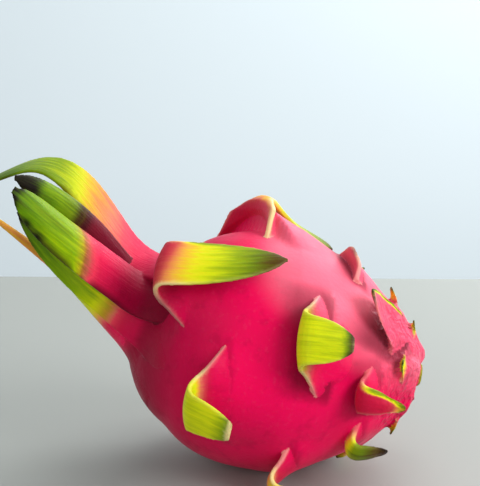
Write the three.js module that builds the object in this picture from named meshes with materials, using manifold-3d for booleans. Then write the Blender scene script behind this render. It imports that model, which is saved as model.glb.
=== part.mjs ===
// A red pitaya (dragon fruit), as picked, lying on a table.
//
// Millimetres, +Z up. The origin is the middle of the flat spot that the fruit rests on. The crown of long
// bracts points towards -X and upwards, and the cut stem end towards +X. Azimuth round the fruit is 0 on the
// side that faces -Y and 90 degrees on top; a station is a distance along the fruit's axis from its widest
// ring, positive towards the crown.
//
// The fruit grew as one piece: an egg-shaped body, a bract growing out of each swelling of its skin, and a
// stub of stem. The bracts follow the plant's spiral, each one golden angle on from the last.

import * as THREE from "three";
import { mergeVertices } from "three/addons/utils/BufferGeometryUtils.js";
import Module from "manifold-3d";

const RADIANS = Math.PI / 180;
const FRUIT_PINK = 0xd81654;

// The body: an egg on a straight axis that bends upwards into the neck under the crown.
const BODY_RADIUS = 44;
const STEM_REACH = 57; // from the widest ring to the stem end
const STEM_FULLNESS = 1.4; // 2 is an ellipse, and less is more pointed
const CROWN_REACH = 54; // from the widest ring to where the egg alone would close
const CROWN_FULLNESS = 3.2;
const NECK_RADIUS = 12;
const NECK_END = 62;
const NECK_DOME = 9; // the neck closes over this length
const NECK_BLEND = 8;
const AXIS_TILT = 9 * RADIANS; // of the straight axis, crown end up
const BEND = { start: 39, length: 22, angle: 35 * RADIANS }; // of the axis, upwards
const FLAT_DEPTH = 1.1; // how far the fruit's weight presses its lowest skin in

// The stem end: a dimple with the stub of the cut stem in it.
const DIMPLE_RADIUS = 15;
const DIMPLE_DEPTH = 6;
const STUB = { foot: 5.5, face: 4.2, sunk: 6, height: 7.5, sides: 12 };

// The spiral of bracts. Number 0 is the lowest of the crown; numbers rise towards the stem.
const GOLDEN_ANGLE = 137.5;
const FIRST_AZIMUTH = 66;
const LAST_BRACT = 22;
const FIRST_CROWN_BRACT = -9;
const ROOT_SINK = 9; // how far a blade runs on under the skin behind its root
const ROOT_CURVE = 0.02; // how fast that buried run dips, per millimetre
const BLADE = { rootThickness: 3.4, tipThickness: 1.5, edge: 0.5, tableGap: 0.25 };
const BUNDLE_TAPER = 8; // degrees by which the crown's bracts lean in to each other
const MIDLINE_STEP = 0.5;

// Sides of the faceted solid.
const BODY_SIDES = 44;
const STEM_RINGS = 13;
const CROWN_RINGS = 12;
const BLADE_COLUMNS = 4;
const SMALLEST_STEP = 0.04; // finer facets are merged
const LAST_FINE_BRACT = 10; // later ones are small, and have fewer rows

const { sin, cos, tan, abs, min, max, exp, sqrt, PI } = Math;
const smoothstep = (low, high, x) => THREE.MathUtils.smoothstep(x, low, high);

// ---------------------------------------------------------------- the body's surface

// The axis at a station: its point, its direction towards the crown, and the upward side of the fruit there.
function axisAt(station) {
  const straight = new THREE.Vector3(-cos(AXIS_TILT), 0, sin(AXIS_TILT));
  const above = new THREE.Vector3(sin(AXIS_TILT), 0, cos(AXIS_TILT));
  const radius = BEND.length / BEND.angle;
  const turn = bendAt(station);
  const along = straight.clone().multiplyScalar(cos(turn)).addScaledVector(above, sin(turn));
  const point = straight.clone().multiplyScalar(min(station, BEND.start) + sin(turn) * radius);
  point.addScaledVector(above, (1 - cos(turn)) * radius);
  point.addScaledVector(along, max(station - BEND.start - BEND.length, 0));
  return { point, along, up: above.multiplyScalar(cos(turn)).addScaledVector(straight, -sin(turn)) };
}

// How far the axis has turned upwards by a station, as an angle.
function bendAt(station) {
  return min(max((station - BEND.start) / BEND.length, 0), 1) * BEND.angle;
}

// The directions at an azimuth: out of the fruit, and round it towards rising azimuth.
function around(up, azimuth) {
  const side = new THREE.Vector3(0, -1, 0);
  return {
    out: side.clone().multiplyScalar(cos(azimuth)).addScaledVector(up, sin(azimuth)),
    round: side.clone().multiplyScalar(-sin(azimuth)).addScaledVector(up, cos(azimuth)),
  };
}

// Radius of the bare body: the egg, run into the neck by a smooth maximum.
function bareRadius(station) {
  const [reach, fullness] = station < 0 ? [STEM_REACH, STEM_FULLNESS] : [CROWN_REACH, CROWN_FULLNESS];
  const share = min(abs(station) / reach, 1);
  const egg = BODY_RADIUS * (1 - share ** fullness) ** (2 / 3);
  if (station < 0) return egg;
  const dome = max(station - (NECK_END - NECK_DOME), 0) / NECK_DOME;
  const neck = NECK_RADIUS * sqrt(max(1 - dome ** 2, 0));
  const overlap = max(NECK_BLEND - abs(egg - neck), 0) / NECK_BLEND;
  return max(egg, neck) + (overlap ** 2 * NECK_BLEND * min(1, neck / NECK_RADIUS)) / 4;
}

// How far the fruit has to be lifted, and moved along X, for its flat spot to be centred on the origin.
const REST = (() => {
  const lowest = { x: 0, z: Infinity };
  for (let station = -STEM_REACH; station < CROWN_REACH; station += 0.25) {
    const { point, up } = axisAt(station);
    point.addScaledVector(up, -bareRadius(station));
    if (point.z < lowest.z) Object.assign(lowest, { x: point.x, z: point.z });
  }
  return new THREE.Vector3(-lowest.x, 0, -lowest.z - FLAT_DEPTH);
})();

// Height of the skin's swellings over the bare body. Each bract stands on one, which fades towards the stem
// and drops off steeply in front of the bract's root line.
function swelling(station, azimuth) {
  const radius = bareRadius(station);
  let height = 0;
  for (const b of BRACTS) {
    const turn = Math.atan2(sin(azimuth - b.azimuth), cos(azimuth - b.azimuth));
    const aside = turn * radius;
    const behind = (station - b.station + aside * tan(b.lean * RADIANS)) / b.swellLength;
    if (behind < -1 || behind > b.swellDrop) continue;
    const across = abs(aside) / (b.rootWidth * (1 + 0.35 * min(behind, 0)));
    if (across > 1) continue;
    const rise = (1 + min(behind, 0)) ** b.swellPower * (1 - smoothstep(0, b.swellDrop, behind));
    height = max(height, b.swell * rise * (1 - across ** 2) ** 1.5);
  }
  return height;
}

// A point of the skin. Where the fruit lies on the table, its swellings are pressed flat.
function skin(station, azimuth) {
  const { point, up } = axisAt(station);
  const { out } = around(up, azimuth);
  point.add(REST).addScaledVector(out, bareRadius(station));
  const clearance = max(point.z, 0);
  const height = swelling(station, azimuth);
  return point.addScaledVector(out, (height * clearance) / (clearance + height + 1e-6));
}

// ---------------------------------------------------------------- the bracts

// What is different about single bracts, by their number on the spiral. Lengths are in millimetres and angles
// in degrees; turn and shift move a bract off its place on the spiral, round and along the fruit.
const OWN_SHAPE = {
  [-8]: { turn: 3, length: 80, strapWidth: 6.2, taper: 8, lift: 27, lean: 22, sway: -55 },
  [-7]: { length: 50, strapWidth: 6 },
  [-6]: { turn: -3, length: 60, strapWidth: 9, taper: 5, lift: -3, sway: -7, twist: 8 },
  [-5]: {
    ...{ turn: -19, shift: -8, length: 109, strapWidth: 8.8, rise: 82, riseSpan: 38, foldAt: 69.5 },
    ...{ foldSpan: 47, lift: -60, lean: 25, sway: -50.5, twist: -21, furled: false },
  },
  [-4]: { turn: -5, length: 90, rootWidth: 7, strapWidth: 3, rise: 9, lean: -15, sway: 27 },
  [-3]: {
    ...{ turn: 36, length: 75, rootWidth: 12, strapWidth: 9.2, taper: 7, flareEnd: 24 },
    ...{ lift: 23, sway: -12, twist: -15.5 },
  },
  [-1]: {
    ...{ turn: 83, shift: 8, length: 76, rootWidth: 12, strapWidth: 5.5, taper: 5, rise: 3.5 },
    ...{ lift: -9, lean: 8, sway: 2, twist: 4 },
  },
  0: {
    ...{ turn: -20, shift: 1.5, length: 57, rootWidth: 20.5, strapWidth: 9, rise: 32, foldAt: 13 },
    ...{ foldSpan: 11.5, fold: 169, lean: 2.5, sway: 20, twist: -9 },
  },
  2: {
    ...{ turn: 11, shift: 2, length: 36, cut: 0.9, rootWidth: 22, rise: 18.5, foldAt: 14, fold: 132 },
    ...{ lean: -6, sway: -11, twist: -5 },
  },
  3: {
    ...{ turn: -12, shift: 8.5, length: 38, rootWidth: 26, swell: 10.5, swellLength: 28 },
    ...{ swellDrop: 0.15, rise: 36, foldAt: 2, foldSpan: 4, fold: 180, curl: -21 },
    ...{ lean: -32, sway: -16, twist: 50 },
  },
  4: { length: 20, rise: 2, fold: 0 },
  5: {
    ...{ turn: -10, shift: -8.5, length: 31.5, cut: 0.95, rootWidth: 21.5, strapWidth: 8.5, rise: 4 },
    ...{ foldAt: 13.5, fold: 148, lean: -6, twist: -13 },
  },
  7: { turn: 6, shift: 5.5, foldAt: 11.5, fold: 142, lean: -6, sway: 3 },
  8: { turn: -2, shift: -1, length: 6.5, rise: 28, foldAt: 4, foldSpan: 4, fold: 20, lean: -20 },
  10: { shift: -6.5, length: 26.5, rise: 5, foldAt: 11.5, fold: 126, lean: -5, sway: -8, twist: -6 },
  12: { length: 9, rise: 0, fold: 0 },
  13: {
    ...{ turn: -10, shift: -7.5, length: 29.5, rootWidth: 11, strapWidth: 8, rise: 3, foldAt: 10 },
    ...{ fold: 0, lean: 18, twist: 30 },
  },
  15: { turn: -4, shift: 9, length: 18.5, fold: 143 },
};

// Bracts get smaller, narrower and less folded back from the crown towards the stem.
function bractOnBody(number) {
  const age = exp(-number / 9);
  return {
    azimuth: FIRST_AZIMUTH + GOLDEN_ANGLE * number,
    station: -STEM_REACH + 91 * age,
    length: 5 + 49 * exp(-number / 6.5),
    rootWidth: 7 + 14 * age,
    strapWidth: 3.5 + 4.5 * age,
    taper: 4,
    flareEnd: 0,
    swell: 1.5 + 4.5 * age,
    swellLength: 10 + 18 * age,
    swellPower: 2,
    swellDrop: 0.22,
    rise: 4 + 22 * age,
    riseSpan: 0,
    foldAt: 4 + 11 * age,
    foldSpan: 5 + 6 * age,
    fold: 150 * (1 - smoothstep(5, 16, number)),
    curl: 10,
    lift: 0,
    lean: 0,
    sway: 0,
    twist: 0,
    channel: 0.02,
    cut: 1,
    furled: false,
  };
}

// Those of the crown stand in a bundle: each leaves the neck along its skin, then turns to run with the rest.
function bractOfCrown(number) {
  const station = 51 - 18 * exp(number / 3);
  return {
    ...bractOnBody(0),
    azimuth: FIRST_AZIMUTH + GOLDEN_ANGLE * number,
    station,
    length: 68,
    rootWidth: 16,
    strapWidth: 8.5,
    taper: 3.2,
    flareEnd: 32,
    swell: 1,
    swellLength: 14,
    rise: 8,
    foldAt: 12,
    foldSpan: 20,
    curl: 0,
    channel: 0.08,
    furled: true,
  };
}

// Turns a crown bract from the slope of the skin at its root to the direction of the bundle.
function joinBundle(b) {
  const left = (BEND.angle - bendAt(b.station)) / RADIANS;
  b.fold = -BUNDLE_TAPER - b.rise - bareSlope(b.station) / RADIANS + left * sin(b.azimuth);
  b.sway += left * cos(b.azimuth);
}

const BRACTS = [];
for (let number = FIRST_CROWN_BRACT; number <= LAST_BRACT; number += 1) {
  const b = number < 0 ? bractOfCrown(number) : bractOnBody(number);
  const { turn = 0, shift = 0, ...own } = OWN_SHAPE[number] ?? {};
  Object.assign(b, own, { number, station: b.station + shift });
  b.azimuth = (b.azimuth + turn) * RADIANS;
  if (number < 0) joinBundle(b);
  b.fold += b.lift;
  b.flareEnd ||= 1.25 * b.foldAt;
  BRACTS.push(b);
}

// The line down the middle of a bract's outer face, as a list of frames. Each has its distance s from the
// root, its point, its direction, its outward normal and the direction across the blade.
function midline(b, distances) {
  const { along, up } = axisAt(b.station);
  const { out, round } = around(up, b.azimuth);
  const root = skin(b.station - 0.5, b.azimuth);
  const d = along.clone();
  const n = out.clone();
  const e = round.clone();
  const rotate = (a, c, degrees) => {
    const angle = degrees * RADIANS;
    const before = a.clone();
    a.multiplyScalar(cos(angle)).addScaledVector(c, sin(angle));
    c.multiplyScalar(cos(angle)).addScaledVector(before, -sin(angle));
  };
  const folded = (s) => {
    const share = smoothstep(b.foldAt - b.foldSpan / 2, b.foldAt + b.foldSpan / 2, s);
    const risen = b.riseSpan ? smoothstep(0, b.riseSpan, s) * b.rise : 0;
    return share * b.fold + (s / b.length) * b.curl + risen;
  };
  rotate(d, e, b.lean);
  rotate(d, n, (bareSlope(b.station) / RADIANS) * cos(b.lean * RADIANS) + (b.riseSpan ? 0 : b.rise));
  const frames = [];
  const point = root.clone();
  let s = 0;
  for (const target of distances) {
    if (target <= 0) {
      const sunk = root.clone().addScaledVector(d, target).addScaledVector(n, -ROOT_CURVE * target ** 2);
      frames.push({ s: target, point: sunk, d: d.clone(), n: n.clone(), e: e.clone() });
      continue;
    }
    while (s < target - 1e-9) {
      const ds = min(MIDLINE_STEP, target - s);
      rotate(d, n, folded(s + ds) - folded(s));
      if (s + ds / 2 > b.foldAt) rotate(d, e, (b.sway * ds) / (b.length - b.foldAt));
      rotate(n, e, (b.twist * ds) / b.length);
      point.addScaledVector(d, ds);
      s += ds;
    }
    frames.push({ s: target, point: point.clone(), d: d.clone(), n: n.clone(), e: e.clone() });
  }
  return frames;
}

// Slope of the bare body along its axis, as an angle.
function bareSlope(station) {
  return Math.atan2(bareRadius(station + 1) - bareRadius(station - 1), 2);
}

// Distances from the root at which a blade is cut into rows: closest together through its fold.
function rowsOf(b) {
  const steps = b.number > LAST_FINE_BRACT ? 2 : 4;
  const end = b.length * b.cut;
  const low = max(b.foldAt - b.foldSpan / 2, 1);
  const high = min(b.foldAt + b.foldSpan / 2, end - 2);
  const rows = [-ROOT_SINK, 0];
  const lead = b.riseSpan ? 4 : 2;
  for (let i = 1; i < lead; i += 1) rows.push((low * i) / lead);
  for (let i = 0; i <= steps; i += 1) rows.push(low + ((high - low) * i) / steps);
  for (let i = 1; i <= steps; i += 1) rows.push(high + ((end - high) * i) / steps);
  return rows;
}

// Half the blade's width: a flared root that runs into a strap with a pointed tip.
function halfWidth(b, s) {
  const f = min(max(s / b.length, 0), 0.985);
  const flare = max(1 - max(s, 0) / b.flareEnd, 0) ** 1.6;
  const width = (b.rootWidth - b.strapWidth) * flare + b.strapWidth * (1 - f ** b.taper) ** 0.75;
  return s < 0 ? width * (1 + s / (3 * ROOT_SINK)) : width;
}

// A blade as one closed surface: an outer and an inner sheet that share their rim.
function bladeGeometry(b) {
  const frames = midline(b, rowsOf(b));
  const rootArch = 1 / max(bareRadius(b.station), NECK_RADIUS) + (2 * b.swell) / b.rootWidth ** 2;
  const columns = BLADE_COLUMNS;
  const outer = [];
  const inner = [];
  for (const frame of frames) {
    const f = max(frame.s / b.length, 0);
    const width = halfWidth(b, frame.s);
    const flat = b.furled ? 0 : smoothstep(0, b.foldAt, frame.s);
    const arch = rootArch * (1 - flat) + b.channel * smoothstep(b.foldAt, b.length, frame.s);
    for (let j = 0; j <= columns; j += 1) {
      const v = (2 * j) / columns - 1;
      const angle = arch * width * v;
      const acrossBy = abs(arch) < 1e-5 ? width * v : sin(angle) / arch;
      const dropBy = abs(arch) < 1e-5 ? 0 : (cos(angle) - 1) / arch;
      const normal = frame.n.clone().multiplyScalar(cos(angle)).addScaledVector(frame.e, sin(angle));
      const face = frame.point.clone().addScaledVector(frame.e, acrossBy).addScaledVector(frame.n, dropBy);
      const full = BLADE.rootThickness * (1 - f) + BLADE.tipThickness * f;
      const half = normal.multiplyScalar((full * (1 - (1 - BLADE.edge) * v ** 2)) / 2);
      const middle = face.sub(half);
      if (frame.s > 0) middle.z = max(middle.z, abs(half.z) + BLADE.tableGap);
      outer.push(middle.clone().add(half));
      inner.push(middle.clone().sub(half));
    }
  }
  return sheetPair(outer, inner, frames.length, columns + 1);
}

// ---------------------------------------------------------------- meshes

function geometryOf(points, faces) {
  const geometry = new THREE.BufferGeometry().setFromPoints(points);
  geometry.setIndex(faces);
  return geometry;
}

// Two grids of points, one over the other, closed along their common rim.
function sheetPair(outer, inner, rows, columns) {
  const faces = [];
  const under = outer.length;
  const at = (i, j) => i * columns + j;
  const quad = (a, b, c, d) => faces.push(a, b, c, a, c, d);
  for (let i = 0; i + 1 < rows; i += 1) {
    for (let j = 0; j + 1 < columns; j += 1) {
      quad(at(i, j), at(i, j + 1), at(i + 1, j + 1), at(i + 1, j));
      quad(under + at(i, j), under + at(i + 1, j), under + at(i + 1, j + 1), under + at(i, j + 1));
    }
    const last = columns - 1;
    quad(at(i, 0), at(i + 1, 0), under + at(i + 1, 0), under + at(i, 0));
    quad(at(i, last), under + at(i, last), under + at(i + 1, last), at(i + 1, last));
  }
  for (let j = 0; j + 1 < columns; j += 1) {
    const end = rows - 1;
    quad(at(0, j), under + at(0, j), under + at(0, j + 1), at(0, j + 1));
    quad(at(end, j), at(end, j + 1), under + at(end, j + 1), under + at(end, j));
  }
  return geometryOf([...outer, ...inner], faces);
}

// The body as rings from the stem end to the neck, with a point at each end.
function bodyGeometry() {
  const stations = [];
  const quarter = (i, rings) => (i / rings) * (PI / 2);
  for (let i = 1; i <= STEM_RINGS; i += 1) stations.push(-STEM_REACH * cos(quarter(i, STEM_RINGS)));
  for (let i = 1; i <= CROWN_RINGS; i += 1) stations.push((NECK_END - 0.4) * sin(quarter(i, CROWN_RINGS)));
  const points = [];
  for (const station of stations) {
    const hollow = max(1 - bareRadius(station) / DIMPLE_RADIUS, 0);
    const pulled = station < 0 ? DIMPLE_DEPTH * hollow : 0;
    for (let j = 0; j < BODY_SIDES; j += 1) {
      const azimuth = (2 * PI * j) / BODY_SIDES;
      points.push(skin(station, azimuth).addScaledVector(axisAt(0).along, pulled));
    }
  }
  const faces = [];
  const at = (i, j) => i * BODY_SIDES + (j % BODY_SIDES);
  const rings = stations.length;
  for (let j = 0; j < BODY_SIDES; j += 1) {
    for (let i = 0; i + 1 < rings; i += 1) {
      faces.push(at(i, j), at(i, j + 1), at(i + 1, j + 1));
      faces.push(at(i, j), at(i + 1, j + 1), at(i + 1, j));
    }
    faces.push(points.length, at(0, j + 1), at(0, j));
    faces.push(points.length + 1, at(rings - 1, j), at(rings - 1, j + 1));
  }
  points.push(axisAt(DIMPLE_DEPTH - STEM_REACH).point.add(REST));
  points.push(axisAt(NECK_END).point.add(REST));
  return geometryOf(points, faces);
}

// A three.js primitive with its seam closed and its empty triangles left out.
function welded(primitive) {
  primitive.deleteAttribute("normal");
  primitive.deleteAttribute("uv");
  const merged = mergeVertices(primitive, 1e-4);
  const corners = [...merged.index.array];
  const faces = [];
  for (let i = 0; i < corners.length; i += 3) {
    const [a, b, c] = corners.slice(i, i + 3);
    if (a !== b && b !== c && c !== a) faces.push(a, b, c);
  }
  return merged.setIndex(faces);
}

function stubGeometry() {
  const profile = [
    [0, 0],
    [STUB.foot, 0],
    [STUB.face, STUB.height],
    [STUB.face * 0.7, STUB.height + 0.8],
    [0, STUB.height + 0.5],
  ];
  const turned = profile.map(([r, y]) => new THREE.Vector2(r, y));
  const geometry = welded(new THREE.LatheGeometry(turned, STUB.sides));
  const towardsStem = axisAt(0).along.negate();
  const facingStem = new THREE.Quaternion().setFromUnitVectors(new THREE.Vector3(0, 1, 0), towardsStem);
  geometry.applyQuaternion(facingStem);
  const foot = axisAt(DIMPLE_DEPTH - STEM_REACH + STUB.sunk).point.add(REST);
  return geometry.translate(foot.x, foot.y, foot.z);
}

// ---------------------------------------------------------------- joining

const wasm = await Module();
wasm.setup();

function solid(geometry) {
  const mesh = new wasm.Mesh({
    numProp: 3,
    vertProperties: geometry.attributes.position.array,
    triVerts: new Uint32Array(geometry.index.array),
  });
  return new wasm.Manifold(mesh);
}

let fruit = solid(bodyGeometry()).add(solid(stubGeometry()));
for (const b of BRACTS) fruit = fruit.add(solid(bladeGeometry(b)));

// The table presses the lowest skin flat. Hollows that the blades close in are filled: only the outer
// surface, which is the largest of the joined pieces, is kept.
const table = welded(new THREE.BoxGeometry(400, 400, 100)).translate(0, 0, -50);
fruit = fruit.subtract(solid(table)).simplify(SMALLEST_STEP);
fruit = fruit.decompose().reduce((a, b) => (b.volume() > a.volume() ? b : a));

const joined = fruit.getMesh();
const geometry = new THREE.BufferGeometry();
geometry.setAttribute("position", new THREE.BufferAttribute(new Float32Array(joined.vertProperties), 3));
geometry.setIndex(new THREE.BufferAttribute(new Uint32Array(joined.triVerts), 1));
geometry.computeVertexNormals();

const group = new THREE.Group();
const rind = new THREE.MeshStandardMaterial({ color: FRUIT_PINK, roughness: 0.45, metalness: 0 });
const dragonFruit = new THREE.Mesh(geometry, rind);
dragonFruit.name = "dragon_fruit";
group.add(dragonFruit);

export default group;
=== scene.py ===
# %% [markdown]
# # A dragon fruit, modelled and finished in Blender
#
# A red pitaya is the berry of a climbing cactus. Its leathery rind carries some thirty scales, the bracts,
# which are pink where they leave the skin and green and dry towards their tips. The fruit hangs while it
# grows, so the bracts of its crown stand together as a bundle and those of its sides bend back on themselves.
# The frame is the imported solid: one body, which rides on "root". It tells how large the fruit is and where
# it lies. The lesson makes one fine mesh in its place, in metres, and the frame stays for the physics.

# %% Load the frame
import math
import bpy
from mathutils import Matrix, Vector


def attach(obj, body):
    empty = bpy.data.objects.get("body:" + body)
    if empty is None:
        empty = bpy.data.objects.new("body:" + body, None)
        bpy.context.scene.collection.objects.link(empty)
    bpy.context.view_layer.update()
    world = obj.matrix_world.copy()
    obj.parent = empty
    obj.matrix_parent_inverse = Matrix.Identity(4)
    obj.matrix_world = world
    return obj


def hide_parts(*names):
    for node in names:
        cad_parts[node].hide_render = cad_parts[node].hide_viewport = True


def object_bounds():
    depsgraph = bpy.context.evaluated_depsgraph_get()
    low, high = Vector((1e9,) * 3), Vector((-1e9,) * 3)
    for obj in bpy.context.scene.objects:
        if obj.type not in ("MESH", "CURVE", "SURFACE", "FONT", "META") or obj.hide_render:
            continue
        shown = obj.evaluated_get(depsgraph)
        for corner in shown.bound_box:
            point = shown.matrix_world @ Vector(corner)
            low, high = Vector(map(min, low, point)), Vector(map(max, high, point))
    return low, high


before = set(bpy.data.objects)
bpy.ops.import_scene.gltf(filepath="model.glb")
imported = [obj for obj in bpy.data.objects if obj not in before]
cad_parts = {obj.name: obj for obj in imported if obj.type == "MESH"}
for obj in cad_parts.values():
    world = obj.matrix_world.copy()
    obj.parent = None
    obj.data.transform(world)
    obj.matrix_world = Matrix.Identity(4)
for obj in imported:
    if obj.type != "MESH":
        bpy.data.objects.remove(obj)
cad_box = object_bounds()
print("packed nodes:", len(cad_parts))
print("frame box in mm:", [[round(c * 1000, 1) for c in corner] for corner in cad_box])

# %% [markdown]
# ## Habits
#
# Three habits keep operators honest. An operator acts on all that is selected, so everything is deselected
# before a piece is picked. A modifier is applied as soon as it is set, so that the mesh holds its shape. And
# sizes are written in millimetres, as a maker measures them, and turned to metres in one place.

# %% Habits
MM = 0.001


def pick(*pieces):
    if bpy.context.object and bpy.context.object.mode != "OBJECT":
        bpy.ops.object.mode_set(mode="OBJECT")
    bpy.ops.object.select_all(action="DESELECT")
    for piece in pieces:
        piece.select_set(True)
    bpy.context.view_layer.objects.active = pieces[0]


def apply_modifier(piece, kind, **settings):
    pick(piece)
    modifier = piece.modifiers.new(kind.title(), kind)
    for name, value in settings.items():
        setattr(modifier, name, value)
    bpy.ops.object.modifier_apply(modifier=modifier.name)


print("one millimetre is", MM, "m")

# %% [markdown]
# ## The fruit's axis
#
# The body is an egg on an axis that bends upwards into a short neck under the crown. A station is a distance
# along that axis from the widest ring, positive towards the crown, and an azimuth is an angle round it, 0 on
# the side that faces -Y and 90 degrees on top. With a place given by the two, any spot of the skin can be
# asked for, which is simpler than sculpting it and puts each bract where the solid has it.

# %% The fruit's axis
AXIS_TILT = math.radians(9)
BEND_START, BEND_LENGTH, BEND_ANGLE = 39, 22, math.radians(35)


def bend_at(station):
    return min(max((station - BEND_START) / BEND_LENGTH, 0), 1) * BEND_ANGLE


def axis_at(station):
    """A point of the axis, the direction along it there, and the one across it that is most upwards."""
    straight = Vector((-math.cos(AXIS_TILT), 0, math.sin(AXIS_TILT)))
    above = Vector((math.sin(AXIS_TILT), 0, math.cos(AXIS_TILT)))
    radius = BEND_LENGTH / BEND_ANGLE
    turn = bend_at(station)
    along = straight * math.cos(turn) + above * math.sin(turn)
    point = straight * (min(station, BEND_START) + math.sin(turn) * radius)
    point += above * (1 - math.cos(turn)) * radius
    point += along * max(station - BEND_START - BEND_LENGTH, 0)
    return point, along, above * math.cos(turn) - straight * math.sin(turn)


def around(up, azimuth):
    """The directions out of the skin and round it at an azimuth."""
    side = Vector((0, -1, 0))
    out = side * math.cos(azimuth) + up * math.sin(azimuth)
    return out, up * math.cos(azimuth) - side * math.sin(azimuth)


print("the axis rises %.0f degrees, and the neck bends %.0f more" % (
    math.degrees(AXIS_TILT), math.degrees(BEND_ANGLE)))

# %% [markdown]
# ## The shape of the bare fruit
#
# One curve gives the radius at each station: an egg, blunter towards the stem, and a neck with a domed end. A
# low fillet joins the two. The fruit's weight presses its lowest skin a millimetre flat, and the middle of
# that flat spot is the origin.

# %% The shape of the bare fruit
BODY_RADIUS, EGG_CURVE = 44, 2 / 3
STEM_REACH, STEM_FULLNESS = 57, 1.4
CROWN_REACH, CROWN_FULLNESS = 54, 3.2
NECK_RADIUS, NECK_END, NECK_DOME, NECK_BLEND = 12, 62, 9, 8
FLAT_DEPTH = 1.1


def bare_radius(station):
    reach, fullness = (STEM_REACH, STEM_FULLNESS) if station < 0 else (CROWN_REACH, CROWN_FULLNESS)
    egg = BODY_RADIUS * (1 - min(abs(station) / reach, 1) ** fullness) ** EGG_CURVE
    if station < 0:
        return egg
    dome = max(station - (NECK_END - NECK_DOME), 0) / NECK_DOME
    neck = NECK_RADIUS * math.sqrt(max(1 - dome**2, 0))
    overlap = max(NECK_BLEND - abs(egg - neck), 0) / NECK_BLEND
    return max(egg, neck) + overlap**2 * NECK_BLEND * min(1, neck / NECK_RADIUS) / 4


def bare_slope(station):
    return math.degrees(math.atan2(bare_radius(station + 1) - bare_radius(station - 1), 2))


def lowest_spot():
    spots = []
    for quarter in range(-4 * STEM_REACH, 4 * CROWN_REACH):
        point, _, up = axis_at(quarter / 4)
        spot = point - up * bare_radius(quarter / 4)
        spots.append((spot.z, spot.x))
    return min(spots)


low_z, low_x = lowest_spot()
REST = Vector((-low_x, 0, -low_z - FLAT_DEPTH))
print("the bare fruit is %.0f mm across and rests %.1f mm along" % (2 * BODY_RADIUS, low_x))

# %% [markdown]
# ## The rule that all bracts follow
#
# A cactus sets its scales on a spiral, each one golden angle on from the last. So one rule places them all
# and makes them smaller from the crown to the stem. Lengths are in millimetres and turns in degrees:
#
# - root and strap are half the width at the skin and further out, flare_end is where one becomes the other,
#   and a low taper narrows the whole blade while a high one keeps it broad up to a blunt tip;
# - swell is the height of the skin's swelling under the root, and swell_length how far it runs back;
# - rise lifts the blade off the skin, at once or over rise_span, and fold turns it back at fold_at;
# - curl is a turn spread over the whole length, lean turns the root in the skin, and sway and twist turn and
#   roll the part beyond the fold.

# %% The rule that all bracts follow
GOLDEN_ANGLE, FIRST_AZIMUTH = 137.5, 66
FIRST_CROWN_BRACT, LAST_BRACT = -9, 22
BUNDLE_TAPER = 8  # by which the crown's bracts lean in to each other
CROWN_TOP, CROWN_DEPTH, CROWN_OVER = 51, 18, 3  # the stations of the crown's bracts close up to the top
FLARE_PER_FOLD = 1.25
SHRINK_OVER, SHORTEN_OVER = 9, 6.5  # after so many bracts they have shrunk to about a third
SHORTEST, LONGER = 5, 49
FOLD, FOLDED_UP_TO, STRAIGHT_FROM = 150, 5, 16
# The size that bracts shrink to by the stem, and what the first has on top of it.
SMALLEST_AND_MORE = {
    "station": (-STEM_REACH, 91), "root": (7, 14), "strap": (3.5, 4.5), "swell": (1.5, 4.5),
    "swell_length": (10, 18), "rise": (4, 22), "fold_at": (4, 11), "fold_span": (5, 6),
}
SAME_ON_ALL = dict(
    taper=4, flare_end=0, swell_power=2, swell_drop=0.22, rise_span=0, curl=10, lift=0, lean=0, sway=0,
    twist=0, channel=0.02, cut=1, furled=False, turn=0, shift=0,
)
CROWN = dict(
    length=68, root=16, strap=8.5, taper=3.2, flare_end=32, swell=1, swell_length=14, rise=8, fold_at=12,
    fold_span=20, curl=0, channel=0.08, furled=True,
)


def smoothstep(low, high, x):
    t = min(max((x - low) / (high - low), 0.0), 1.0)
    return t * t * (3 - 2 * t)


def bract_on_body(number):
    b = dict(SAME_ON_ALL, azimuth=FIRST_AZIMUTH + GOLDEN_ANGLE * number)
    youth = math.exp(-number / SHRINK_OVER)
    for name, (smallest, more) in SMALLEST_AND_MORE.items():
        b[name] = smallest + more * youth
    b["length"] = SHORTEST + LONGER * math.exp(-number / SHORTEN_OVER)
    b["fold"] = FOLD * (1 - smoothstep(FOLDED_UP_TO, STRAIGHT_FROM, number))
    return b


def bract_of_crown(number):
    azimuth = FIRST_AZIMUTH + GOLDEN_ANGLE * number
    station = CROWN_TOP - CROWN_DEPTH * math.exp(number / CROWN_OVER)
    return dict(bract_on_body(0), azimuth=azimuth, station=station, **CROWN)


print("the first bract is %.0f mm long, and the last %.0f mm" % (
    bract_on_body(0)["length"], bract_on_body(LAST_BRACT)["length"]))

# %% [markdown]
# ## What each bract does on its own account
#
# No bract follows the rule to the letter. What a single one does, such as a deeper fold or a tip that leans
# aside, is written beside its number. The numbers rise from the crown to the stem, and those below nought
# belong to the crown. Its bracts all turn upwards by what is left of the axis's bend, so that they stand as a
# bundle.

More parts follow.
